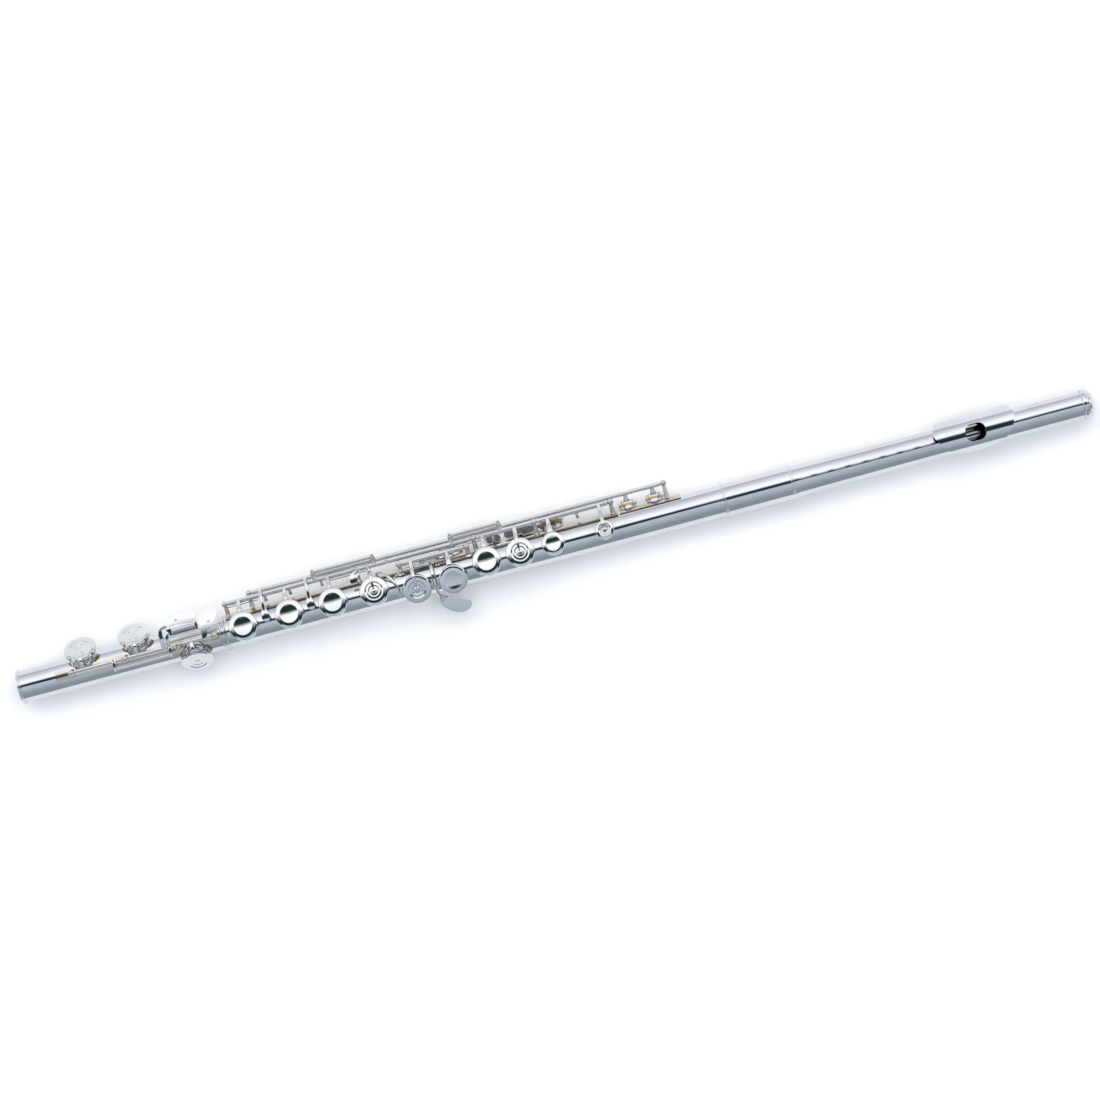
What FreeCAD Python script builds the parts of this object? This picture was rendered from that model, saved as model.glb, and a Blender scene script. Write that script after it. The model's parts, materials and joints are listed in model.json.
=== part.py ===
"""Concert flute with closed holes, offset G keys and a C foot, in millimetres.

X runs along the tube from the open foot end to the crown, Z points up along the main tone holes,
and Y points to the player's side, where the hinge rods are.  The origin is the centre of the
foot's open end.  Angles round the tube are measured from +Z towards +Y.
"""
import FreeCAD, Part
import math
import os

V = FreeCAD.Vector
X_AXIS = V(1, 0, 0)
Z_AXIS = V(0, 0, 1)
ORIGIN = V(0, 0, 0)

# Tube
BORE_R = 9.5
TUBE_R = 9.9
RIB_R = 10.6
RIM_H = 12.0
PAD_SEAT_H = 12.06
CUP_TOP_H = 15.3
CUP_ROOF_H = 14.05
CUP_RIM_H = 12.6
CUP_WALL = 0.45
CHIMNEY_WALL = 0.45
BEAD = 0.35

# Joints between the three sections
FOOT_LENGTH = 130.8
BODY_START = 131.1
TENON_START = 119.5
TENON_R = 9.69
SOCKET_R = 9.71
BODY_END = 448.0
BARREL_START = 440.0
BARREL_END = 484.5
BARREL_R = 10.3
HEAD_START = 448.5
HEAD_TAPER_START = 486.0
HEAD_TAPER_END = 614.0
HEAD_END = 663.3
HEAD_END_R = 8.8
HEAD_WALL = 0.4
CROWN_END = 670.7

# Hinge lines (y, z), steels and tubes that turn on them
MAIN_ROD = (16.8, 6.0)
TRILL_ROD = (19.65, 3.0)
G_ROD = (13.0, 10.3)
G_SHARP_ROD = (9.0, 8.2)
THUMB_ROD = (7.3, -12.5)
FOOT_ROD = (0.65, 16.3)
STEEL_R = 0.9
HINGE_BORE_R = 0.94
HINGE_R = 1.5
SLIM_HINGE_R = 1.35
POST_BALL_R = 1.95
SPRING_R = 0.25
SPRING_DROP = 2.5
JOINT_GAP = 0.2

# Lean of the finger plates in degrees
BACK_LEAN = -11.0
FRONT_LEAN = 10.0

# Key travel in degrees
OPEN_ANGLE = 9.0
FOOT_OPEN_ANGLE = 9.0
THUMB_OPEN_ANGLE = 7.0

# Angles of the tone holes round the tube, in degrees
G_ANGLE = -20.0
G_SHARP_ANGLE = 115.0
THUMB_ANGLE = 108.0
TRILL_ANGLE = 107.0
FOOT_ANGLE = 60.0
E_FLAT_ANGLE = -55.0

# Sizes of cups and tone holes (cup radius, hole radius)
LARGE = (8.8, 6.8)
FOOT_CUP = (10.0, 7.9)
MEDIUM = (7.1, 5.2)
THUMB_CUP = (7.4, 5.4)
SMALL = (5.9, 3.9)
TRILL_CUP = (5.7, 3.8)

# Places along the tube
D_X, E_X, F_X, F_SHARP_X = 142.2, 170.9, 198.0, 223.7
LOW_G_X, G_X, G_SHARP_X = 249.0, 271.5, 271.5
A_X, B_FLAT_X, C_X, C_SHARP_X = 293.7, 314.5, 335.0, 366.9
THUMB_X, TRILL_D_X, TRILL_D_SHARP_X = 336.0, 383.9, 400.6
FOOT_C_X, FOOT_C_SHARP_X, E_FLAT_X = 42.3, 76.1, 109.4
MOUTH_X, MOUTH_Y = 596.6, 0.9
MAIN_POSTS = (133.8, 215.7, 288.9, 326.7, 374.2)
TRILL_POSTS = (149.1, 408.0)
G_POSTS = (241.8, 283.8)
G_SHARP_POSTS = (241.8, 264.1)
THUMB_POSTS = (292.0, 350.0)
FOOT_POSTS = (34.8, 68.4, 102.0, 124.0)

TOP_HOLES = [(D_X, 0, LARGE), (E_X, 0, LARGE), (F_X, 0, LARGE), (F_SHARP_X, 0, LARGE),
             (LOW_G_X, G_ANGLE, LARGE), (G_X, G_ANGLE, LARGE), (A_X, 0, LARGE),
             (B_FLAT_X, 0, LARGE), (C_X, 0, MEDIUM), (C_SHARP_X, 0, SMALL)]
BACK_HOLES = [(G_SHARP_X, G_SHARP_ANGLE, LARGE), (THUMB_X, THUMB_ANGLE, THUMB_CUP),
              (TRILL_D_X, TRILL_ANGLE, TRILL_CUP), (TRILL_D_SHARP_X, TRILL_ANGLE, TRILL_CUP)]
FOOT_HOLES = [(FOOT_C_X, FOOT_ANGLE, FOOT_CUP), (FOOT_C_SHARP_X, FOOT_ANGLE, FOOT_CUP),
              (E_FLAT_X, E_FLAT_ANGLE, FOOT_CUP)]


# ---------------------------------------------------------------- helpers

def save(name, *solids):
    """Write one node; several solids become a group."""
    shape = solids[0] if len(solids) == 1 else Part.makeCompound(list(solids))
    shape.exportStep("parts/" + name + ".step")


def rod(radius, start, end, line=(0, 0)):
    return Part.makeCylinder(radius, end - start, V(start, line[0], line[1]), X_AXIS)


def pipe(outer, inner, start, end, line=(0, 0)):
    return rod(outer, start, end, line).cut(rod(inner, start - 1, end + 1, line))


def round_tube(shape, x, angle):
    """Move a shape made about local Z to a place x along the tube, turned round it."""
    placed = shape.copy()
    placed.rotate(ORIGIN, X_AXIS, -angle)
    placed.translate(V(x, 0, 0))
    return placed


def turned(shape, line, degrees):
    placed = shape.copy()
    placed.rotate(V(0, line[0], line[1]), X_AXIS, degrees)
    return placed


def spun(points, axis=Z_AXIS):
    """Solid of revolution about an axis from a closed outline of (radius, height) points."""
    if axis == Z_AXIS:
        corners = [V(r, 0, h) for r, h in points]
    else:
        corners = [V(h, 0, r) for r, h in points]
    face = Part.Face(Part.makePolygon(corners + corners[:1]))
    return face.revolve(ORIGIN, axis, 360)


def sector(inner, outer, start, end, angle_from, angle_to):
    """Strip that lies round the tube between two angles."""
    corners = [V(start, inner, 0), V(end, inner, 0), V(end, outer, 0), V(start, outer, 0)]
    face = Part.Face(Part.makePolygon(corners + corners[:1]))
    solid = face.revolve(ORIGIN, X_AXIS, angle_to - angle_from)
    solid.rotate(ORIGIN, X_AXIS, 90 - angle_to)
    return solid


def box(x_range, y_range, z_range):
    size = [x_range[1] - x_range[0], y_range[1] - y_range[0], z_range[1] - z_range[0]]
    return Part.makeBox(size[0], size[1], size[2], V(x_range[0], y_range[0], z_range[0]))


def section(point, tangent, width, thickness):
    """Oval wire across an arm; its width lies as near to X as the arm allows."""
    side = X_AXIS - tangent * X_AXIS.dot(tangent)
    if side.Length < 0.5:
        side = V(0, 1, 0) - tangent * tangent.y
    side.normalize()
    up = tangent.cross(side)
    corners = 8
    points = []
    for i in range(corners):
        a = 2 * math.pi * i / corners
        points.append(point + side * (width / 2 * math.cos(a)) + up * (thickness / 2 * math.sin(a)))
    curve = Part.BSplineCurve()
    curve.interpolate(points, True)
    return Part.Wire([curve.toShape()])


def softened(stations):
    """Cut the corners off a chain of stations, keeping its two ends."""
    result = [stations[0]]
    for a, b in zip(stations, stations[1:]):
        result.append(tuple(0.75 * p + 0.25 * q for p, q in zip(a, b)))
        result.append(tuple(0.25 * p + 0.75 * q for p, q in zip(a, b)))
    result.append(stations[-1])
    return result


def arm(stations):
    """Curved bar through stations of (x, y, z, width, thickness)."""
    stations = softened(softened(stations))
    points = [V(s[0], s[1], s[2]) for s in stations]
    wires = []
    for i, station in enumerate(stations):
        tangent = points[min(i + 1, len(points) - 1)] - points[max(i - 1, 0)]
        tangent.normalize()
        wires.append(section(points[i], tangent, station[3], station[4]))
    return Part.makeLoft(wires, True, True)


def plate(outline, z, thickness, bevel=0.35):
    """Flat plate with a smooth closed outline of (x, y) points and a bevelled top edge."""
    middle_x = (min(p[0] for p in outline) + max(p[0] for p in outline)) / 2
    middle_y = (min(p[1] for p in outline) + max(p[1] for p in outline)) / 2
    half = min(max(p[0] for p in outline) - middle_x, max(p[1] for p in outline) - middle_y)
    wires = []
    for height, inset in ((0, 0), (thickness - bevel, 0), (thickness, bevel)):
        k = 1 - inset / half
        points = [V(middle_x + k * (x - middle_x), middle_y + k * (y - middle_y), z + height)
                  for x, y in outline]
        curve = Part.BSplineCurve()
        curve.interpolate(points, True)
        wires.append(Part.Wire([curve.toShape()]))
    return Part.makeLoft(wires, True, True)


def crowned_touch(outline, z, thickness, curve_r, line, lean):
    """Finger plate with a gently domed top, leaned about a line along the tube."""
    middle_x = (min(p[0] for p in outline) + max(p[0] for p in outline)) / 2
    middle_y = (min(p[1] for p in outline) + max(p[1] for p in outline)) / 2
    curve = Part.BSplineCurve()
    curve.interpolate([V(x, y, z) for x, y in outline], True)
    blank = Part.Face(Part.Wire([curve.toShape()])).extrude(V(0, 0, thickness))
    dome = Part.makeSphere(curve_r, V(middle_x, middle_y, z + thickness - curve_r))
    return turned(blank.common(dome), line, lean)


# ---------------------------------------------------------------- cups, pads and posts

def cup(size, pointed=False):
    """Key cup about local Z: dished top, bevelled edge, open underneath for the pad."""
    r = size[0]
    dish = 0.62 * r
    outline = [(0, CUP_ROOF_H), (r - CUP_WALL, CUP_ROOF_H), (r - CUP_WALL, CUP_RIM_H),
               (r, CUP_RIM_H), (r, CUP_TOP_H - 1.0), (r - 0.2, CUP_TOP_H - 0.68),
               (r - 0.5, CUP_TOP_H - 0.46), (r - 1.4, CUP_TOP_H - 0.2), (dish + 0.3, CUP_TOP_H)]
    if pointed:
        groove = 0.36 * r
        outline += [(dish, CUP_TOP_H - 0.02), (dish - 0.7, CUP_TOP_H - 0.34), (groove + 0.5, CUP_TOP_H - 0.2),
                    (groove, CUP_TOP_H - 0.24), (groove - 0.4, CUP_TOP_H - 0.46), (1.7, CUP_TOP_H - 0.4),
                    (1.1, CUP_TOP_H - 0.05), (0, CUP_TOP_H + 0.05)]
    else:
        steps = 6
        depth = 0.6
        for i in range(steps + 1):
            s = dish * (1 - i / steps)
            outline.append((s, CUP_TOP_H - depth * (1 - (s / dish) ** 2)))
    return spun(outline)


def pad(size):
    """Pad that fills the cup and stands a little below its rim."""
    r = size[0] - CUP_WALL - 0.02
    edge = 0.45
    return spun([(0, PAD_SEAT_H), (r - edge, PAD_SEAT_H), (r, PAD_SEAT_H + edge),
                 (r, CUP_ROOF_H), (0, CUP_ROOF_H)])


def local_line(line, angle):
    """Hinge line seen from a tone hole: (distance round the tube, height along the hole)."""
    a = math.radians(angle)
    s = line[0] * math.cos(a) - line[1] * math.sin(a)
    h = line[0] * math.sin(a) + line[1] * math.cos(a)
    return s, h


def cup_arm(size, line, angle, pointed):
    s, h = local_line(line, angle)
    side = math.copysign(1, s)
    r = size[0]
    if pointed:
        return arm([(0, s, h, 2.8, 2.2),
                    (0, side * (r + 0.62 * (abs(s) - r)), h + 0.62 * (CUP_TOP_H - h), 2.6, 2.0),
                    (0, side * (r + 0.6), CUP_TOP_H - 0.1, 2.4, 1.5),
                    (0, side * (r - 2.2), CUP_TOP_H + 0.45, 2.0, 1.2),
                    (0, side * 0.35 * r, CUP_TOP_H + 0.3, 1.4, 1.1),
                    (0, side * 0.4, CUP_TOP_H + 0.05, 0.4, 0.6)])
    return arm([(0, s, h, 2.4, 2.2),
                (0, side * (r + 0.6 * (abs(s) - r)), h + 0.62 * (CUP_TOP_H - h), 2.5, 2.0),
                (0, side * (r + 0.7), CUP_TOP_H - 1.35, 3.6, 1.5),
                (0, side * (r - CUP_WALL + 0.08), CUP_TOP_H - 1.6, 4.6, 1.2)])


def hinged_cup(x, size, line, angle, pointed, arm_x=None):
    """Cup with its arm, closed on its tone hole."""
    cup_shape = round_tube(cup(size, pointed), x, angle)
    arm_shape = round_tube(cup_arm(size, line, angle, pointed), arm_x or x, angle)
    return cup_shape.fuse(arm_shape)


def closed_pad(x, size, angle):
    return round_tube(pad(size), x, angle)


def hinge(line, start, end, radius=HINGE_R):
    return rod(radius, start, end, line)


def bored(shape, line, start, end, radius=HINGE_BORE_R):
    return shape.cut(rod(radius, start - 1, end + 1, line))


def joined(first, *others):
    return first.multiFuse(list(others)).removeSplitter()


def post(x, line, base=RIB_R - 0.05, ball=POST_BALL_R):
    """Ball post on its rib, bored for the hinge steel."""
    height = math.hypot(line[0], line[1])
    angle = math.degrees(math.atan2(line[0], line[1]))
    stem = Part.makeCone(1.6, 1.0, height - base, V(0, 0, base))
    foot = Part.makeCone(2.3, 1.5, 0.7, V(0, 0, base))
    body = Part.makeSphere(ball, V(0, 0, height)).multiFuse([stem, foot])
    return round_tube(body, x, angle)


def bored_posts(places, line, radius=STEEL_R, **options):
    hole = rod(radius, min(places) - 5, max(places) + 5, line)
    return [post(x, line, **options).cut(hole) for x in places]


def kicker(x, line, reach=4.6):
    """Short foot under a hinge tube that stops the key against the rib."""
    y, z = line
    return arm([(x, y, z, 1.9, 2.2), (x, y - 0.55 * reach, z - 0.45 * reach, 1.8, 1.8),
                (x, y - 0.85 * reach, z - 0.85 * reach, 2.4, 1.6)])


# ---------------------------------------------------------------- tubes

def chimney(size):
    """Drawn tone hole, solid, with its rolled rim."""
    r = size[1] + CHIMNEY_WALL
    return spun([(0, 0), (r + 0.5, 0), (r + 0.45, TUBE_R - 1.6), (r + 0.1, TUBE_R - 0.4),
                 (r, TUBE_R + 0.4), (r, RIM_H - 2 * BEAD), (r + BEAD, RIM_H - 1.2 * BEAD),
                 (r + BEAD, RIM_H - 0.4 * BEAD), (r, RIM_H), (0, RIM_H)])


def holed_tube(blank, bore, holes):
    chimneys = [round_tube(chimney(size), x, angle) for x, angle, size in holes]
    drills = []
    for x, angle, size in holes:
        drills.append(round_tube(Part.makeCylinder(size[1], RIM_H + 2), x, angle))
    return blank.multiFuse(chimneys).cut(bore).cut(Part.makeCompound(drills))


def make_body_tube():
    tenon = pipe(TENON_R, BORE_R, TENON_START + 0.1, BODY_START + 0.5)
    tube = holed_tube(rod(TUBE_R, BODY_START, BODY_END), rod(BORE_R, BODY_START - 1, BODY_END + 1),
                      TOP_HOLES + BACK_HOLES)
    return joined(tube, tenon)


def make_foot_tube():
    """The foot end of the body slides into the wider socket, so the bore runs on unbroken."""
    tube = holed_tube(rod(TUBE_R, 0, FOOT_LENGTH), rod(BORE_R, -1, FOOT_LENGTH + 1), FOOT_HOLES)
    return tube.cut(rod(SOCKET_R, TENON_START, FOOT_LENGTH + 1))


def beaded_ring(start, end, inner, band, beads):
    """Ring round the tube with rounded beads at the given places."""
    ring = pipe(band, inner, start, end)
    for x in beads:
        bead = Part.makeTorus(band - 0.15, 0.75, V(x, 0, 0), X_AXIS)
        ring = ring.fuse(bead.cut(rod(inner, start - 1, end + 1)))
    return ring


def make_barrel():
    """Sleeve over the end of the body tube that receives the head joint."""
    sleeve = pipe(BARREL_R, TUBE_R, BARREL_START, BODY_END)
    return sleeve.fuse(pipe(BARREL_R, TUBE_R + 0.05, BODY_END, BARREL_END))


def barrel_ring(start):
    return beaded_ring(start, start + 2.6, BARREL_R, BARREL_R + 0.2, [start + 1.3])


def head_radius(x):
    """Outer radius of the head tube, which narrows towards the crown."""
    if x < HEAD_TAPER_START:
        return TUBE_R
    t = min(1, (x - HEAD_TAPER_START) / (HEAD_TAPER_END - HEAD_TAPER_START))
    return HEAD_END_R + (TUBE_R - HEAD_END_R) * (1 - t) ** 2


def mouth_hole(grow, low, high):
    """Rounded prism of the blow hole."""
    half_x, half_y = 6.2 + grow, 5.2 + grow
    block = box((MOUTH_X - half_x, MOUTH_X + half_x), (MOUTH_Y - half_y, MOUTH_Y + half_y), (low, high))
    uprights = [e for e in block.Edges if abs(e.tangentAt(e.FirstParameter).z) > 0.9]
    return block.makeFillet(4.2 + grow, uprights)


def make_head_tube():
    steps = 12
    xs = [HEAD_START]
    for i in range(steps + 1):
        xs.append(HEAD_TAPER_START + (HEAD_TAPER_END - HEAD_TAPER_START) * i / steps)
    xs.append(HEAD_END)
    outer = [(head_radius(x), x) for x in xs]
    inner = [(head_radius(x) - HEAD_WALL, x) for x in reversed(xs)]
    tube = spun(outer + inner, X_AXIS)
    return tube.cut(mouth_hole(0, 0, 20))


def arch(y_back, y_front, top, drop):
    """Long arched block under a smooth curve over the tube, for the lip plate."""
    curve = Part.BSplineCurve()
    curve.interpolate([V(0, y_back, drop), V(0, 0.8 * y_back, 0.62 * top), V(0, 0.42 * y_back, 0.93 * top),
                       V(0, 0, top), V(0, 0.45 * y_front, 0.93 * top), V(0, 0.83 * y_front, 0.62 * top),
                       V(0, y_front, drop)])
    base = Part.makeLine(V(0, y_front, drop), V(0, y_back, drop))
    face = Part.Face(Part.Wire([curve.toShape(), base]))
    return face.extrude(V(60, 0, 0)).translated(V(MOUTH_X - 30, 0, 0))


def make_lip_plate():
    outer = arch(12.3, -10.6, 14.0, -1.5)
    inner = arch(11.4, -9.7, 13.1, -1.6)
    outline = [(-24.9, 6.5), (-22.0, 11.6), (-12, 13.6), (0, 13.8), (12, 13.6), (22.0, 11.6), (24.9, 6.5),
               (22.9, 0), (17.0, -6.9), (9, -9.6), (0, -10.4), (-9, -9.6), (-17.0, -6.9), (-22.9, 0)]
    cutter = plate([(MOUTH_X + x, y) for x, y in outline], -3, 20, bevel=0.1)
    return outer.cut(inner).common(cutter).cut(mouth_hole(0, -5, 20))


def make_riser():
    wall = mouth_hole(1.0, 5, 13.3).cut(mouth_hole(0, 4, 20))
    inside = arch(11.4, -9.7, 13.1, -1.6)
    return wall.common(inside).cut(rod(head_radius(MOUTH_X), MOUTH_X - 20, MOUTH_X + 20))


def make_crown():
    profile = [(2.06, 659.6), (8.15, 659.6), (8.15, HEAD_END + 0.1), (9.1, HEAD_END + 0.1),
               (9.45, HEAD_END + 0.5), (9.45, 665.6), (9.1, 666.2), (8.9, 666.9), (7.9, 668.3),
               (6.4, 669.4), (4.4, 670.2), (2.2, 670.6), (0, CROWN_END), (0, 669.4), (2.06, 669.4)]
    return spun(profile, X_AXIS)


def make_head():
    save("head_tube", make_head_tube())
    save("lip_plate", make_lip_plate())
    save("mouth_riser", make_riser())
    save("crown", make_crown())
    cork_start, cork_end = MOUTH_X + 18.3, MOUTH_X + 34.3
    save("stopper_cork", pipe(8.33, 2.0, cork_start, cork_end))
    save("stopper_plates", rod(8.3, cork_start - 1, cork_start), pipe(8.3, 2.0, cork_end, cork_end + 1))
    save("stopper_screw", rod(2.0, cork_start, 666.5))


# ---------------------------------------------------------------- ribs, posts, steels, springs

def clear_of_holes(strip, holes):
    for x, angle, size in holes:
        strip = strip.cut(round_tube(Part.makeCylinder(size[1] + CHIMNEY_WALL + 0.9, 20), x, angle))
    return strip


def make_ribs():
    main = clear_of_holes(sector(TUBE_R, RIB_R, 131.6, 377.0, 49, 92), TOP_HOLES + BACK_HOLES)
    trill = clear_of_holes(sector(TUBE_R, RIB_R, 378.0, 416.0, 53, 98), BACK_HOLES)
    offset = sector(TUBE_R, RIB_R, 237.5, 288.0, 38, 48.8)
    thumb = sector(TUBE_R, RIB_R, 288.5, 353.5, 141, 158)
    thumb = clear_of_holes(thumb, BACK_HOLES)
    save("body_ribs", main, trill, offset, thumb)


def make_posts():
    posts = bored_posts(MAIN_POSTS, MAIN_ROD)
    posts += bored_posts(TRILL_POSTS, TRILL_ROD, HINGE_BORE_R)
    posts += bored_posts(G_POSTS[1:], G_ROD)
    posts += bored_posts(G_SHARP_POSTS[1:], G_SHARP_ROD, ball=1.6)
    posts += bored_posts(THUMB_POSTS, THUMB_ROD, ball=1.7)
    double = post(G_POSTS[0], G_ROD).fuse(post(G_SHARP_POSTS[0], G_SHARP_ROD, ball=1.6))
    double = bored(double, G_ROD, 235, 250, STEEL_R)
    posts.append(bored(double, G_SHARP_ROD, 235, 250, STEEL_R))
    save("body_posts", *posts)


def steel(start, end, line):
    """Hinge steel with a screwdriver slot across its head."""
    slot = box((start - 1, start + 0.5), (line[0] - 2, line[0] + 2), (line[1] - 0.15, line[1] + 0.15))
    return rod(STEEL_R, start, end, line).cut(slot)


def make_steels():
    reach = 1.9
    main = [steel(MAIN_POSTS[0] - reach, MAIN_POSTS[2], MAIN_ROD),
            rod(STEEL_R, MAIN_POSTS[2], MAIN_POSTS[4] + reach, MAIN_ROD)]
    save("main_steels", *main)
    save("offset_g_steel", steel(G_POSTS[0] - reach, G_POSTS[1] + reach, G_ROD))
    save("g_sharp_steel", steel(G_SHARP_POSTS[0] - 1.5, G_SHARP_POSTS[1] + 1.5, G_SHARP_ROD))
    save("thumb_steel", steel(THUMB_POSTS[0] - 1.6, THUMB_POSTS[1] + 1.6, THUMB_ROD))


def spring(x, line, length):
    """Needle spring that starts in the stem of a post and runs under the hinge tube."""
    scale = 1 - SPRING_DROP / math.hypot(*line)
    low, high = sorted((x, x + length))
    return rod(SPRING_R, low, high, (line[0] * scale, line[1] * scale))


def make_springs():
    first, second, third, fourth = MAIN_POSTS[:4]
    main = [(first, 20), (second, -18), (second, 6), (third, 9), (third, -20), (fourth, -9), (fourth, 18)]
    save("body_springs", *[spring(x, MAIN_ROD, length) for x, length in main])
    foot = [(FOOT_POSTS[0], 16), (FOOT_POSTS[1], 18), (FOOT_POSTS[3], -12)]
    save("foot_springs", *[spring(x, FOOT_ROD, length) for x, length in foot])


# ---------------------------------------------------------------- keys of the body joint

def open_key(name, shape, pads, line=MAIN_ROD, angle=OPEN_ANGLE):
    """Save a key and its pads, swung from closed to where they stand at rest."""
    save(name + "_key", turned(shape, line, -angle))
    save(name + "_pad" + ("s" if len(pads) > 1 else ""), *[turned(p, line, -angle) for p in pads])


def simple_key(name, x, size, start, end, pointed=False, arm_x=None, kick=None):
    parts = [hinge(MAIN_ROD, start, end)]
    if kick:
        parts.append(turned(kicker(kick, MAIN_ROD), MAIN_ROD, OPEN_ANGLE))
    body = joined(hinged_cup(x, size, MAIN_ROD, 0, pointed, arm_x), *parts)
    open_key(name, bored(body, MAIN_ROD, start, end), [closed_pad(x, size, 0)])


def make_right_hand_keys():
    simple_key("d", D_X, LARGE, 136.0, 159.9, kick=158.2)
    simple_key("e", E_X, LARGE, 160.1, 188.0, kick=173.6)
    simple_key("f", F_X, LARGE, 191.8, 213.5, kick=193.4)
    simple_key("f_sharp", F_SHARP_X, LARGE, 217.9, 225.3, pointed=True)


def bridge(start, end):
    """Raised bar that carries a turning link past the keys and posts below it."""
    bar_line = (21.9, 7.6)
    parts = [rod(1.2, start, end, bar_line)]
    for x in (start, end):
        parts.append(arm([(x, MAIN_ROD[0] - 1.2, MAIN_ROD[1] - 0.3, 3.0, 2.6),
                          (x, MAIN_ROD[0], MAIN_ROD[1], 3.0, 3.4),
                          (x, 19.4, 6.8, 2.9, 2.6), (x, bar_line[0], bar_line[1], 3.0, 3.4),
                          (x, bar_line[0] + 1.5, bar_line[1] + 0.4, 2.4, 2.2)]))
    return parts


def make_b_flat_key():
    tubes = [hinge(MAIN_ROD, 188.3, 191.5), hinge(MAIN_ROD, 225.6, 286.8), hinge(MAIN_ROD, 304.2, 324.6)]
    body = joined(hinged_cup(B_FLAT_X, LARGE, MAIN_ROD, 0, True, 314.4), *tubes)
    body = turned(body, MAIN_ROD, -OPEN_ANGLE)
    body = joined(body, *(bridge(189.9, 227.2) + bridge(275.6, 305.8)))
    save("b_flat_key", bored(body, MAIN_ROD, 186, 327))
    save("b_flat_pad", turned(closed_pad(B_FLAT_X, LARGE, 0), MAIN_ROD, -OPEN_ANGLE))
    clamp = arm([(235.2, MAIN_ROD[0] - 0.4, MAIN_ROD[1] + 1.55, 2.6, 2.6),
                 (235.2, 16.7, 10.8, 2.2, 2.0), (235.0, 16.8, 14.4, 2.2, 1.8)])
    bar = arm([(235.8, 16.8, 14.3, 1.2, 1.7), (226, 16.8, 14.4, 1.1, 1.7), (219.5, 16.8, 14.3, 1.1, 1.8),
               (216.6, 15.8, 13.3, 1.1, 2.2), (214.5, 14.4, 12.8, 1.1, 2.4)])
    outline = [(217.2, 16.3), (213.6, 15.6), (211.1, 12.2), (211.3, 9.4), (213.3, 8.7), (215.2, 10.2),
               (216.3, 12.8), (217.6, 14.6)]
    touch = crowned_touch(outline, 12.1, 1.5, 14, (12.0, 12.8), BACK_LEAN)
    seat = rod(HINGE_R, 230, 240, MAIN_ROD)
    save("b_flat_side_lever", joined(touch, bar, clamp).cut(seat))


def make_g_keys():
    body = joined(hinged_cup(LOW_G_X, LARGE, G_ROD, G_ANGLE, True, 248.9),
                  hinged_cup(G_X, LARGE, G_ROD, G_ANGLE, False), hinge(G_ROD, 243.9, 281.7))
    pads = [closed_pad(x, LARGE, G_ANGLE) for x in (LOW_G_X, G_X)]
    open_key("g", bored(body, G_ROD, 243, 283), pads, G_ROD)


def make_g_sharp_key():
    """Closed key: spatula on the front, lever over the tube, cup behind it."""
    tube = hinge(G_SHARP_ROD, 243.7, 262.2, SLIM_HINGE_R)
    lever = arm([(260.1, 9.0, 8.9, 2.4, 1.6), (260.1, 5.2, 12.3, 2.4, 1.3), (260.1, 0, 13.4, 2.3, 1.3),
                 (260.1, -5.2, 12.3, 2.3, 1.3), (260.3, -9.2, 9.5, 2.4, 1.4), (261.2, -11.8, 7.0, 3.4, 1.4),
                 (263.0, -14.6, 6.1, 5.0, 1.3)])
    outline = [(259.0, -11.1), (259.4, -14.8), (262.2, -19.6), (267.0, -23.2), (272.6, -24.5),
               (277.0, -22.8), (278.2, -20.0), (275.4, -17.9), (270.0, -16.0), (264.8, -14.6),
               (261.6, -11.6)]
    spatula = crowned_touch(outline, 5.2, 1.5, 80, (-12.0, 6.0), FRONT_LEAN)
    wrap = sector(12.9, 14.1, 253.6, 256.8, 50, G_SHARP_ANGLE + 4)
    root = arm([(255.2, 9.0, 8.2, 3.0, 2.2), (255.2, 9.9, 8.9, 3.0, 1.5), (255.2, 10.6, 8.4, 3.0, 1.3)])
    run = round_tube(box((0, 8.95), (-1.7, 1.7), (12.95, 14.15)), 254.0, G_SHARP_ANGLE)
    cup_shape = round_tube(cup(LARGE), G_SHARP_X, G_SHARP_ANGLE)
    body = joined(tube, lever, spatula, wrap, root, run, cup_shape)
    save("g_sharp_key", bored(body, G_SHARP_ROD, 243, 263))
    save("g_sharp_pad", closed_pad(G_SHARP_X, LARGE, G_SHARP_ANGLE))


def make_left_hand_keys():
    simple_key("a", A_X, LARGE, 291.1, 303.9, arm_x=294.3, kick=300.6)
    tube = hinge(MAIN_ROD, 328.9, 372.0)
    kick = turned(kicker(352.9, MAIN_ROD), MAIN_ROD, OPEN_ANGLE)
    body = joined(hinged_cup(C_X, MEDIUM, MAIN_ROD, 0, False), tube, kick,
                  hinged_cup(C_SHARP_X, SMALL, MAIN_ROD, 0, True))
    pads = [closed_pad(C_X, MEDIUM, 0), closed_pad(C_SHARP_X, SMALL, 0)]
    open_key("c", bored(body, MAIN_ROD, 328, 373), pads)


def thumb_plate(start, end, low, high, height):
    """Rounded touch for the thumb, lying across the back of the tube."""
    r = min(end - start, high - low) * 0.42
    block = box((start, end), (low, high), (height, height + 1.1))
    uprights = [e for e in block.Edges if abs(e.tangentAt(e.FirstParameter).z) > 0.9]
    return block.makeFillet(r, uprights)


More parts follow.
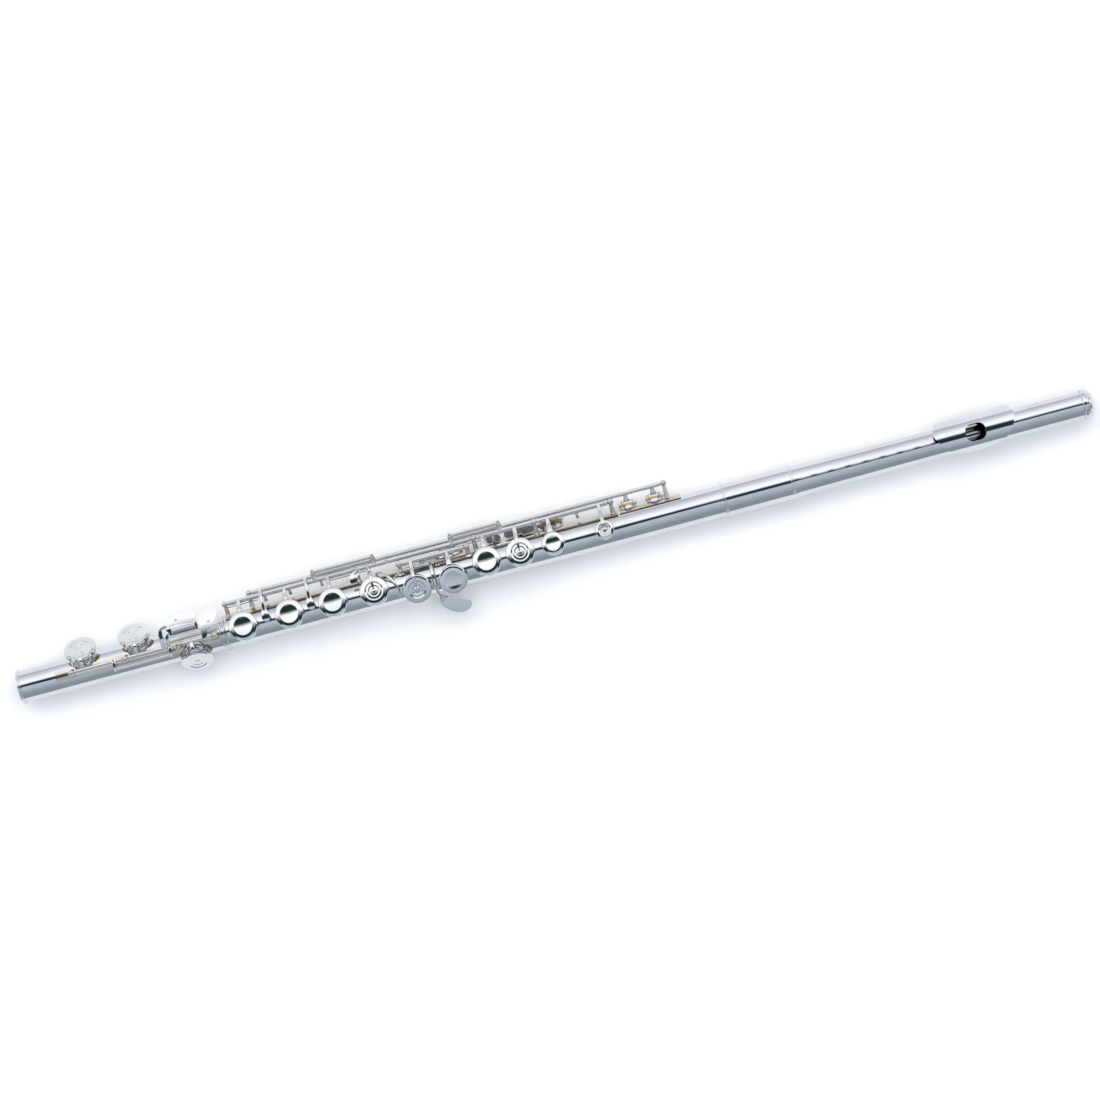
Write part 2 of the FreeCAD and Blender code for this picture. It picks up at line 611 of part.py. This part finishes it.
def make_thumb_keys():
    s, h = local_line(THUMB_ROD, THUMB_ANGLE)
    cup_shape = round_tube(cup(THUMB_CUP), THUMB_X, THUMB_ANGLE)
    cup_bar = round_tube(cup_arm(THUMB_CUP, THUMB_ROD, THUMB_ANGLE, False), THUMB_X, THUMB_ANGLE)
    touch = round_tube(thumb_plate(307.0, 325.8, -6.5, 7.3, 13.3), 0, THUMB_ANGLE)
    web = round_tube(box((324.5, 328.8), (-2.2, 2.2), (13.3, 14.4)), 0, THUMB_ANGLE)
    strut = round_tube(arm([(316.4, s, h, 3.0, 2.2), (316.4, 0.8 * s, 0.75 * h + 3.4, 3.2, 1.6),
                            (316.4, 0.5 * s, 13.9, 4.0, 1.1)]), 0, THUMB_ANGLE)
    body = joined(cup_shape, cup_bar, touch, web, strut, hinge(THUMB_ROD, 305.4, 347.8))
    body = bored(body, THUMB_ROD, 305, 348)
    save("thumb_b_key", turned(body, THUMB_ROD, -THUMB_OPEN_ANGLE))
    pad_shape = closed_pad(THUMB_X, THUMB_CUP, THUMB_ANGLE)
    save("thumb_b_pad", turned(pad_shape, THUMB_ROD, -THUMB_OPEN_ANGLE))
    small = round_tube(thumb_plate(295.6, 304.4, -5.0, 7.8, 13.3), 0, THUMB_ANGLE)
    small_strut = round_tube(arm([(300.0, s, h, 3.0, 2.2), (300.0, 0.8 * s, 0.75 * h + 3.4, 3.0, 1.6),
                                  (300.0, 0.45 * s, 13.9, 3.6, 1.1)]), 0, THUMB_ANGLE)
    lever = bored(joined(small, small_strut, hinge(THUMB_ROD, 294.0, 305.1)), THUMB_ROD, 293, 306)
    save("thumb_b_flat_key", turned(lever, THUMB_ROD, -THUMB_OPEN_ANGLE))


def trill_touch(x):
    """Teardrop touch between two large cups with the arm that carries it."""
    outline = [(x, 9.9), (x - 1.5, 7.4), (x - 2.35, 4.2), (x - 1.9, 1.3), (x, 0.3), (x + 1.9, 1.3),
               (x + 2.35, 4.2), (x + 1.5, 7.4)]
    reach = arm([(x, TRILL_ROD[0], TRILL_ROD[1], 2.0, 2.0), (x, 19.8, 7.5, 1.9, 1.6),
                 (x, 17.5, 10.7, 1.9, 1.4), (x, 13.2, 12.3, 1.9, 1.3), (x, 8.6, 12.7, 1.8, 1.1),
                 (x, 6.0, 12.7, 1.6, 0.9)])
    return [crowned_touch(outline, 12.1, 1.6, 13, (5.0, 12.8), BACK_LEAN), reach]


def trill_cup(x):
    return hinged_cup(x, TRILL_CUP, TRILL_ROD, TRILL_ANGLE, False)


def make_trill_keys():
    """The D sharp trill key turns on its own steel, which runs inside the D trill key's tube."""
    start, end = TRILL_POSTS
    tube_start, tube_end = 181.4, 386.6
    tube = hinge(TRILL_ROD, tube_start, tube_end, SLIM_HINGE_R)
    body = joined(tube, trill_cup(TRILL_D_X), *trill_touch(184.6))
    save("trill_d_key", bored(body, TRILL_ROD, start, end))
    save("trill_d_pad", closed_pad(TRILL_D_X, TRILL_CUP, TRILL_ANGLE))
    foot_end = joined(hinge(TRILL_ROD, start + 2.1, tube_start - JOINT_GAP, SLIM_HINGE_R),
                      *trill_touch(156.5))
    head_end = joined(hinge(TRILL_ROD, tube_end + JOINT_GAP, end - 2.1, SLIM_HINGE_R),
                      trill_cup(TRILL_D_SHARP_X))
    save("trill_d_sharp_key", bored(foot_end, TRILL_ROD, start, end, STEEL_R),
         bored(head_end, TRILL_ROD, start, end, STEEL_R))
    save("trill_d_sharp_pad", closed_pad(TRILL_D_SHARP_X, TRILL_CUP, TRILL_ANGLE))
    save("trill_steel", rod(STEEL_R, start - 1.9, end + 1.9, TRILL_ROD))


def make_guard_arm():
    save("curved_guard_arm", arm([(226.5, 10.2, 2.3, 1.8, 1.6), (227.2, 12.0, 4.2, 1.7, 1.2),
                                  (229.6, 11.6, 7.6, 1.6, 1.0), (233.0, 8.6, 10.6, 1.6, 0.9),
                                  (236.2, 4.4, 12.4, 1.6, 0.9), (237.4, 0, 12.9, 1.6, 0.9),
                                  (237.7, -3.6, 12.2, 1.5, 0.9), (237.5, -6.7, 10.6, 0.8, 0.6)]))


# ---------------------------------------------------------------- foot joint

def make_foot_keys():
    c_cup = hinged_cup(FOOT_C_X, FOOT_CUP, FOOT_ROD, FOOT_ANGLE, True)
    c_tube = hinge(FOOT_ROD, 36.9, 66.2)
    c_key = turned(joined(c_cup, c_tube), FOOT_ROD, FOOT_OPEN_ANGLE)
    link = (-4.1, 16.9)
    clamp = [arm([(x, 1.6, 16.4, 3.0, 3.4), (x, -1.6, 17.2, 2.6, 2.6),
                  (x, link[0] - 1.2, link[1], 2.6, 2.6)]) for x in (61.2, 96.2)]
    collar = hinge(FOOT_ROD, 95.0, 99.8)
    rise = arm([(96.2, 0.65, 17.2, 2.2, 2.0), (96.2, 4.5, 18.6, 2.2, 1.3), (96.4, 8.0, 18.5, 2.2, 1.2),
                (97.8, 9.2, 18.2, 3.0, 1.3)])
    fork = joined(box((97.0, 99.6), (7.4, 11.0), (17.2, 18.6)), box((98.6, 115.2), (7.1, 7.9), (16.9, 18.0)),
                  box((98.6, 99.8), (7.1, 11.2), (15.8, 18.6)),
                  box((114.6, 115.8), (7.1, 11.2), (15.8, 18.0)))
    c_key = joined(c_key, rod(0.75, 61.2, 96.2, link), collar, rise, fork, *clamp)
    c_key = c_key.cut(rod(0.64, 95, 120, (9.6, 16.9)))
    save("foot_c_key", bored(c_key, FOOT_ROD, 36, 100))
    save("foot_c_pad", turned(closed_pad(FOOT_C_X, FOOT_CUP, FOOT_ANGLE), FOOT_ROD, FOOT_OPEN_ANGLE))
    save("roller_pin", rod(0.64, 98.6, 115.8, (9.6, 16.9)))
    save("foot_c_roller", pipe(1.55, 0.69, 100.1, 114.3, (9.6, 16.9)))


def make_foot_c_sharp_key():
    c_sharp = joined(hinged_cup(FOOT_C_SHARP_X, FOOT_CUP, FOOT_ROD, FOOT_ANGLE, True),
                     hinge(FOOT_ROD, 70.5, 94.8))
    c_sharp = turned(c_sharp, FOOT_ROD, FOOT_OPEN_ANGLE)
    bar = arm([(92.9, 0.65, 17.0, 2.6, 2.0), (92.9, 4.5, 18.4, 2.6, 1.3), (92.9, 9.6, 18.6, 2.6, 1.2),
               (93.4, 12.4, 18.5, 2.4, 1.1), (97.5, 13.1, 18.5, 2.0, 1.0)])
    outline = [(92.0, 12.6), (98.0, 14.6), (103.2, 17.8), (109.5, 19.1), (115.0, 18.2), (116.0, 15.0),
               (115.4, 13.0), (106.0, 12.7), (97.0, 12.4)]
    touch = crowned_touch(outline, 17.8, 1.4, 80, (12.4, 18.5), BACK_LEAN)
    save("foot_c_sharp_key", bored(joined(c_sharp, bar, touch), FOOT_ROD, 70, 95))
    pad_shape = closed_pad(FOOT_C_SHARP_X, FOOT_CUP, FOOT_ANGLE)
    save("foot_c_sharp_pad", turned(pad_shape, FOOT_ROD, FOOT_OPEN_ANGLE))


def make_e_flat_key():
    """Closed key: the touch is on the player's side and the cup on the far side."""
    cup_shape = hinged_cup(E_FLAT_X, FOOT_CUP, FOOT_ROD, E_FLAT_ANGLE, True)
    body = joined(cup_shape, hinge(FOOT_ROD, 104.1, 121.9))
    outline = [(116.7, 0.8), (117.0, 7.5), (117.2, 13.5), (119.3, 18.2), (123.3, 19.4), (127.3, 17.9),
               (128.8, 14.4), (127.6, 10.6), (124.0, 7.2), (120.6, 4.2), (118.9, 0.8)]
    touch = crowned_touch(outline, 17.3, 1.4, 80, (0.8, 17.9), BACK_LEAN)
    body = joined(body, touch)
    save("foot_e_flat_key", bored(body, FOOT_ROD, 104, 122))
    save("foot_e_flat_pad", closed_pad(E_FLAT_X, FOOT_CUP, E_FLAT_ANGLE))


def make_foot():
    save("foot_tube", make_foot_tube())
    save("foot_end_ring", beaded_ring(0, 2.2, TUBE_R, TUBE_R + 0.3, [1.1]))
    save("foot_receiver_ring", beaded_ring(126.2, FOOT_LENGTH, TUBE_R, BARREL_R, [127.4, 129.7]))
    rib = sector(TUBE_R, RIB_R, 24.0, 126.0, -14, 19)
    save("foot_rib", clear_of_holes(rib, FOOT_HOLES))
    save("foot_posts", *bored_posts(FOOT_POSTS, FOOT_ROD, base=RIB_R - 0.05))
    save("foot_steel", steel(FOOT_POSTS[0] - 1.9, FOOT_POSTS[-1] + 1.9, FOOT_ROD))


def make_body():
    save("body_tube", make_body_tube())
    save("barrel", make_barrel())
    save("barrel_rings", barrel_ring(BARREL_START), barrel_ring(BARREL_END - 2.6))
    make_ribs()
    make_posts()
    make_steels()
    make_springs()
    make_guard_arm()


os.makedirs("parts", exist_ok=True)
make_body()
make_right_hand_keys()
make_b_flat_key()
make_g_keys()
make_g_sharp_key()
make_left_hand_keys()
make_thumb_keys()
make_trill_keys()
make_foot()
make_foot_keys()
make_foot_c_sharp_key()
make_e_flat_key()
make_head()
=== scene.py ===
"""Looks of the concert flute: pads, finishes, floor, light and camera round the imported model."""
import json
import math

import bmesh
import bpy
import numpy as np
from mathutils import Matrix, Vector

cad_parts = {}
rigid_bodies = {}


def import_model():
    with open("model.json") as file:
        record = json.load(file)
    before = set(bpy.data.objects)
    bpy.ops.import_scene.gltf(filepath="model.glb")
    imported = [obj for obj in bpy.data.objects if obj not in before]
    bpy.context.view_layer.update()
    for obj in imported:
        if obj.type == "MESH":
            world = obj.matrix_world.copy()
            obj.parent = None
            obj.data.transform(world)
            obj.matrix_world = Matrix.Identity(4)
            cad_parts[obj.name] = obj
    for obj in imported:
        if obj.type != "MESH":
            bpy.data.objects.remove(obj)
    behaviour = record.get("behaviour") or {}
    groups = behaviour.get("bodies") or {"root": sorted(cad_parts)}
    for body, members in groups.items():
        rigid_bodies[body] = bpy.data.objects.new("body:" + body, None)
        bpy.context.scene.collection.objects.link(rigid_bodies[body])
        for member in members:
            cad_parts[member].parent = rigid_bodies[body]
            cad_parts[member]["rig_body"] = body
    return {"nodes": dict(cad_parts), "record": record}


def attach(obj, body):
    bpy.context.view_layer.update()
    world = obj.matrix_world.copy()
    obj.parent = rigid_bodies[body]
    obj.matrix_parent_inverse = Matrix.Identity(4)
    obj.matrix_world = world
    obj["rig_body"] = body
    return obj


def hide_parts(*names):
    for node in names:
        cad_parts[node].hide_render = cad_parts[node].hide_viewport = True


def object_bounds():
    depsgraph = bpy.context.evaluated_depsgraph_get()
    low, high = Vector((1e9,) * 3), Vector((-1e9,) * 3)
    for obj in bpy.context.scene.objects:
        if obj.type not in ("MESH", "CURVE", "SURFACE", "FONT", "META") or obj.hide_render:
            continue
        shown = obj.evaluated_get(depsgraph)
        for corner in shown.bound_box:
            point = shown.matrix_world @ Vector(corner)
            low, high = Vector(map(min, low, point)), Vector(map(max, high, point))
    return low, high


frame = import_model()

CAD_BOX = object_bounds()
NODES = frame["nodes"]
MM = 0.001

# Camera: distance, lens, sensor and reach, the place it looks at along the flute, and how far the
# flute rises in the picture
CAMERA_DISTANCE = 2.36
CAMERA_LENS = 128.0
CAMERA_SENSOR = 36.0
CAMERA_REACH = 50.0
CAMERA_X = 0.391
TARGET_X = 0.3317
TARGET_Y = -0.0019
FLUTE_RISE = math.radians(14.91)

# Floor: half its width, the gap under the flute's lowest point, and the two tones of its paper
FLOOR_HALF = 6.0
FLOOR_GAP = 0.0002
FLOOR_TONES = [(0.3, (0.90, 0.905, 0.91)), (0.7, (0.92, 0.925, 0.93))]

# Light panels over the flute: name, place across it in metres, power in watts
PANELS = (("panel_back", 0.3, 14), ("panel_front", -0.3, 7))
PANEL_X = 0.33
PANEL_HEIGHT = 1.6
PANEL_SIZE = 1.8

# Studio: degrees from straight up, positive towards the hinge rods, and the colour there
STUDIO = ((-90, (0.26, 0.28, 0.30)), (-60, (0.26, 0.29, 0.33)), (-30, (0.40, 0.44, 0.50)),
          (-8, (0.50, 0.56, 0.65)), (-6, (0.34, 0.39, 0.45)), (-4, (0.012, 0.03, 0.03)),
          (12, (0.015, 0.035, 0.035)), (17, (0.55, 0.57, 0.60)), (21, (1.10, 1.10, 1.10)),
          (42, (0.97, 0.98, 0.99)), (62, (0.66, 0.69, 0.73)), (90, (0.42, 0.45, 0.49)))
STUDIO_STRENGTH = 1.4

# Pads: steps round the skin, puckers at the edge and how deep they go, and the seat ring's share
# of the radius
PAD_SEGMENTS = 72
PAD_PUCKERS = 24
PUCKER_DEPTH = 0.006
SEAT_SHARE = 0.80
WELD = 1e-6

# Finishes: noise roughness, and the clouding and relief that every metal shares
NOISE_ROUGHNESS = 0.55
CLOUD_SCALE = 38.0
CLOUD_RANGE = (0.34, 0.6)
POLISH_DEPTH = 0.00002


# ---------------------------------------------------------------- node helpers

def new_material(name):
    material = bpy.data.materials.new(name)
    material.use_nodes = True
    return material, material.node_tree.nodes, material.node_tree.links


def noise(nodes, links, scale, stretch=(1, 1, 1), detail=4.0):
    """Noise in the object's own metres, stretched along an axis."""
    place = nodes.new("ShaderNodeTexCoord")
    mapping = nodes.new("ShaderNodeMapping")
    mapping.inputs["Scale"].default_value = stretch
    texture = nodes.new("ShaderNodeTexNoise")
    texture.inputs["Scale"].default_value = scale
    texture.inputs["Detail"].default_value = detail
    texture.inputs["Roughness"].default_value = NOISE_ROUGHNESS
    links.new(place.outputs["Object"], mapping.inputs["Vector"])
    links.new(mapping.outputs["Vector"], texture.inputs["Vector"])
    return texture


def ramp(nodes, links, source, stops):
    """Colour ramp over a value: stops of (position, colour)."""
    node = nodes.new("ShaderNodeValToRGB")
    elements = node.color_ramp.elements
    while len(elements) < len(stops):
        elements.new(0.5)
    for element, (position, colour) in zip(elements, stops):
        element.position = position
        element.color = (*colour, 1)
    links.new(source, node.inputs["Fac"])
    return node


def spread(nodes, links, source, low, high):
    """A value of 0 to 1 spread from low to high."""
    node = nodes.new("ShaderNodeMapRange")
    node.inputs["To Min"].default_value = low
    node.inputs["To Max"].default_value = high
    links.new(source, node.inputs["Value"])
    return node


def bump(nodes, links, source, strength, distance, shader):
    """Fine relief on a shader's normal."""
    node = nodes.new("ShaderNodeBump")
    node.inputs["Strength"].default_value = strength
    node.inputs["Distance"].default_value = distance
    links.new(source, node.inputs["Height"])
    links.new(node.outputs["Normal"], shader.inputs["Normal"])


def metal(name, bright, dull, rough, stretch=(1, 1, 1), grain=900.0, relief=0.03):
    """Polished metal with faint clouding, uneven polish and fine polishing marks."""
    material, nodes, links = new_material(name)
    shader = nodes["Principled BSDF"]
    shader.inputs["Metallic"].default_value = 1.0
    clouds = noise(nodes, links, CLOUD_SCALE, detail=3.0)
    tint = ramp(nodes, links, clouds.outputs["Fac"], list(zip(CLOUD_RANGE, (dull, bright))))
    links.new(tint.outputs["Color"], shader.inputs["Base Color"])
    marks = noise(nodes, links, grain, stretch, detail=5.0)
    polish = spread(nodes, links, marks.outputs["Fac"], rough[0], rough[1])
    links.new(polish.outputs["Result"], shader.inputs["Roughness"])
    bump(nodes, links, marks.outputs["Fac"], relief, POLISH_DEPTH, shader)
    return material


def soft(name, stops, scale, rough, relief, distance, sheen=0.0):
    """Matt organic material with mottled colour and a fine surface."""
    material, nodes, links = new_material(name)
    shader = nodes["Principled BSDF"]
    mottle = noise(nodes, links, scale, detail=6.0)
    tint = ramp(nodes, links, mottle.outputs["Fac"], stops)
    links.new(tint.outputs["Color"], shader.inputs["Base Color"])
    fine = noise(nodes, links, scale * 5, detail=5.0)
    surface = spread(nodes, links, fine.outputs["Fac"], rough[0], rough[1])
    links.new(surface.outputs["Result"], shader.inputs["Roughness"])
    shader.inputs["Sheen Weight"].default_value = sheen
    bump(nodes, links, fine.outputs["Fac"], relief, distance, shader)
    return material


# ---------------------------------------------------------------- finishes

SILVER_TUBE = metal("silver_tube", (0.66, 0.67, 0.69), (0.61, 0.62, 0.65), (0.035, 0.075),
                    stretch=(0.15, 1, 1))
SILVER_KEYS = metal("silver_keys", (0.69, 0.69, 0.69), (0.62, 0.62, 0.63), (0.04, 0.10),
                    relief=0.04)
# The warm brown of the posts' dull tone is painted warm reflection among the mechanism; the
# clouding between the two tones is random.
SILVER_POSTS = metal("silver_posts", (0.68, 0.66, 0.63), (0.55, 0.51, 0.46), (0.06, 0.13),
                     relief=0.05)
SILVER_RINGS = metal("silver_rings", (0.67, 0.675, 0.685), (0.60, 0.61, 0.63), (0.04, 0.10),
                     stretch=(0.3, 1, 1))
# The warm brown and darker tone of the rib silver is painted shade and painted warm reflection
# among the posts; its clouding between the two tones is random.
RIBS_PAINTED_SHADE_REFLECTION = metal("rib_silver_painted_shade_reflection", (0.62, 0.56, 0.49), (0.44, 0.37, 0.30), (0.12, 0.24),
                  relief=0.06)
# The dark brown of the riser, with streaks along the flute, is painted shade and painted warm
# reflection inside the deep blow hole.
RISER_PAINTED_SHADE = metal("riser_painted_shade", (0.34, 0.25, 0.17), (0.13, 0.09, 0.06), (0.3, 0.5),
                   stretch=(1, 3, 1), grain=300.0, relief=0.2)
STEEL = metal("turned_steel", (0.74, 0.74, 0.75), (0.58, 0.58, 0.60), (0.14, 0.28),
              stretch=(9, 1, 1), grain=700.0, relief=0.25)
BLUED_STEEL = metal("blued_steel", (0.16, 0.20, 0.34), (0.09, 0.11, 0.22), (0.2, 0.36),
                    stretch=(1, 6, 6), relief=0.1)
PAD_SKIN = soft("pad_skin", [(0.3, (0.60, 0.37, 0.07)), (0.7, (0.83, 0.60, 0.20))],
                scale=260.0, rough=(0.38, 0.62), relief=0.25, distance=0.00006, sheen=0.15)
CORK = soft("cork", [(0.36, (0.20, 0.09, 0.035)), (0.62, (0.56, 0.34, 0.17))],
            scale=900.0, rough=(0.7, 0.95), relief=0.6, distance=0.00012)

FINISH = {"silver_tube": SILVER_TUBE, "silver_keys": SILVER_KEYS, "silver_posts": SILVER_POSTS,
          "silver_rings": SILVER_RINGS, "steel": STEEL, "blued_spring": BLUED_STEEL,
          "pad_skin": PAD_SKIN, "cork": CORK}
# The riser and the ribs take materials whose colour holds painted shade and painted warm
# reflection.
NODE_FINISH = {"mouth_riser": RISER_PAINTED_SHADE, "body_ribs": RIBS_PAINTED_SHADE_REFLECTION, "foot_rib": RIBS_PAINTED_SHADE_REFLECTION}


def dress_nodes():
    """Every CAD node takes its own finish, or else the finish of its record slot."""
    for part in frame["record"]["subparts"]:
        node = NODES[part["node"]]
        finish = NODE_FINISH.get(part["node"], FINISH[part["material_slot"]])
        node.data.materials.clear()
        node.data.materials.append(finish)


# ---------------------------------------------------------------- pads

def islands(node):
    """Vertex coordinates of each separate solid of a node."""
    mesh = bmesh.new()
    mesh.from_mesh(node.data)
    bmesh.ops.remove_doubles(mesh, verts=mesh.verts, dist=WELD)
    seen, groups = set(), []
    for start in mesh.verts:
        if start in seen:
            continue
        stack, group = [start], []
        seen.add(start)
        while stack:
            vert = stack.pop()
            group.append(tuple(vert.co))
            for edge in vert.link_edges:
                other = edge.other_vert(vert)
                if other not in seen:
                    seen.add(other)
                    stack.append(other)
        groups.append(np.array(group))
    mesh.free()
    return groups


def pad_frame(points):
    """Centre, axis towards the tube, radius and thickness of a disc of points."""
    centre = (points.min(0) + points.max(0)) / 2
    spreads, axes = np.linalg.eigh(np.cov((points - points.mean(0)).T))
    axis = axes[:, 0]
    along = (points - centre) @ axis
    centre = centre + axis * (along.max() + along.min()) / 2
    if axis @ np.array([0.0, -centre[1], -centre[2]]) < 0:
        axis = -axis
    along = (points - centre) @ axis
    across = np.linalg.norm((points - centre) - np.outer(along, axis), axis=1)
    return Vector(centre), Vector(axis), float(across.max()), float(along.max() - along.min())


def pad_profile(radius, thickness):
    """(r, h) of a felt pad in its skin: crowned face, seat ring, rolled edge, tucked back."""
    half = thickness / 2
    seat = radius * SEAT_SHARE
    return [(0.0, half * 0.80), (radius * 0.30, half * 0.84), (radius * 0.60, half * 0.92),
            (seat - 0.5 * MM, half * 0.95), (seat - 0.2 * MM, half * 0.80), (seat, half * 0.72),
            (seat + 0.2 * MM, half * 0.80), (seat + 0.5 * MM, half * 0.96),
            (radius * 0.93, half * 0.90), (radius * 0.975, half * 0.62),
            (radius * 0.995, half * 0.15), (radius * 0.99, -half * 0.35),
            (radius * 0.96, -half * 0.72), (radius * 0.90, -half * 0.95), (0.0, -half * 0.97)]


def add_lathe(mesh, profile, place):
    """Turn a profile of (r, h) into a closed, puckered skin placed by a matrix."""
    rings = []
    for radius, height in profile:
        if radius == 0.0:
            rings.append([mesh.verts.new(place @ Vector((0, 0, height)))])
            continue
        ring = []
        for k in range(PAD_SEGMENTS):
            angle = 2 * math.pi * k / PAD_SEGMENTS
            r = radius * (1 - PUCKER_DEPTH * (0.5 + 0.5 * math.cos(PAD_PUCKERS * angle)))
            point = Vector((r * math.cos(angle), r * math.sin(angle), height))
            ring.append(mesh.verts.new(place @ point))
        rings.append(ring)
    for low, high in zip(rings, rings[1:]):
        for k in range(PAD_SEGMENTS):
            n = (k + 1) % PAD_SEGMENTS
            if len(low) == 1:
                mesh.faces.new((low[0], high[k], high[n]))
            elif len(high) == 1:
                mesh.faces.new((low[k], high[0], low[n]))
            else:
                mesh.faces.new((low[k], high[k], high[n], low[n]))


def make_pad(name):
    """A skin pad in place of the plain CAD disc, with fine puckers round its edge."""
    mesh = bmesh.new()
    for points in islands(NODES[name]):
        centre, axis, radius, thickness = pad_frame(points)
        turn = axis.to_track_quat("Z", "Y").to_matrix().to_4x4()
        add_lathe(mesh, pad_profile(radius, thickness), Matrix.Translation(centre) @ turn)
    bmesh.ops.recalc_face_normals(mesh, faces=mesh.faces)
    data = bpy.data.meshes.new(name + "_skin")
    mesh.to_mesh(data)
    mesh.free()
    data.polygons.foreach_set("use_smooth", [True] * len(data.polygons))
    data.materials.append(PAD_SKIN)
    pad = bpy.data.objects.new(name + "_skin", data)
    bpy.context.scene.collection.objects.link(pad)
    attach(pad, NODES[name]["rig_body"])
    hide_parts(name)


# ---------------------------------------------------------------- floor, light and camera

def make_floor():
    """Plain matt paper just under the flute."""
    level = CAD_BOX[0][2] - FLOOR_GAP
    data = bpy.data.meshes.new("floor")
    corners = [(-FLOOR_HALF, -FLOOR_HALF), (FLOOR_HALF, -FLOOR_HALF), (FLOOR_HALF, FLOOR_HALF),
               (-FLOOR_HALF, FLOOR_HALF)]
    data.from_pydata([(x, y, level) for x, y in corners], [], [(0, 1, 2, 3)])
    floor = bpy.data.objects.new("floor", data)
    bpy.context.scene.collection.objects.link(floor)
    material, nodes, links = new_material("floor_paper")
    shader = nodes["Principled BSDF"]
    paper = noise(nodes, links, 40.0)
    tint = ramp(nodes, links, paper.outputs["Fac"], FLOOR_TONES)
    links.new(tint.outputs["Color"], shader.inputs["Base Color"])
    shader.inputs["Roughness"].default_value = 0.9
    data.materials.append(material)


def make_world():
    """Studio round the flute, graded across it by the STUDIO table.

    It is white behind the flute and dims towards the floor, with a narrow dark gap overhead and
    blue-grey in front.
    """
    world = bpy.data.worlds.new("studio")
    bpy.context.scene.world = world
    world.use_nodes = True
    nodes, links = world.node_tree.nodes, world.node_tree.links
    place = nodes.new("ShaderNodeTexCoord")
    parts = nodes.new("ShaderNodeSeparateXYZ")
    links.new(place.outputs["Generated"], parts.inputs["Vector"])
    angle = nodes.new("ShaderNodeMath")
    angle.operation = "ARCTAN2"
    links.new(parts.outputs["Y"], angle.inputs[0])
    links.new(parts.outputs["Z"], angle.inputs[1])
    share = nodes.new("ShaderNodeMapRange")
    share.inputs["From Min"].default_value = -math.pi / 2
    share.inputs["From Max"].default_value = math.pi / 2
    links.new(angle.outputs[0], share.inputs["Value"])
    stops = [((degrees + 90) / 180, colour) for degrees, colour in STUDIO]
    sky = ramp(nodes, links, share.outputs["Result"], stops)
    links.new(sky.outputs["Color"], nodes["Background"].inputs["Color"])
    nodes["Background"].inputs["Strength"].default_value = STUDIO_STRENGTH


def make_lights():
    """Soft overhead panels that light the floor; they stay out of the reflections."""
    for name, y, power in PANELS:
        data = bpy.data.lights.new(name, "AREA")
        data.shape = "SQUARE"
        data.size = PANEL_SIZE
        data.energy = power
        light = bpy.data.objects.new(name, data)
        light.location = (PANEL_X, y, PANEL_HEIGHT)
        aim = Vector((PANEL_X, 0, 0)) - light.location
        light.rotation_euler = aim.to_track_quat("-Z", "Y").to_euler()
        light.visible_glossy = False
        bpy.context.scene.collection.objects.link(light)


def make_camera():
    """Camera above the flute, turned so that the flute rises across the picture."""
    data = bpy.data.cameras.new("camera")
    data.lens = CAMERA_LENS
    data.sensor_width = CAMERA_SENSOR
    data.clip_end = CAMERA_REACH
    camera = bpy.data.objects.new("camera", data)
    bpy.context.scene.collection.objects.link(camera)
    location = Vector((CAMERA_X, TARGET_Y, CAMERA_DISTANCE))
    forward = (Vector((TARGET_X, TARGET_Y, 0)) - location).normalized()
    rise = Vector((math.sin(FLUTE_RISE), math.cos(FLUTE_RISE), 0))
    right = forward.cross(rise).normalized()
    up = right.cross(forward)
    turn = Matrix((right, up, -forward)).transposed().to_4x4()
    camera.matrix_world = Matrix.Translation(location) @ turn
    bpy.context.scene.camera = camera


def make_all():
    make_camera()
    dress_nodes()
    for name in sorted(NODES):
        if name.endswith(("_pad", "_pads")):
            make_pad(name)
    make_floor()
    make_world()
    make_lights()
    bpy.context.scene.view_settings.view_transform = "Standard"


make_all()
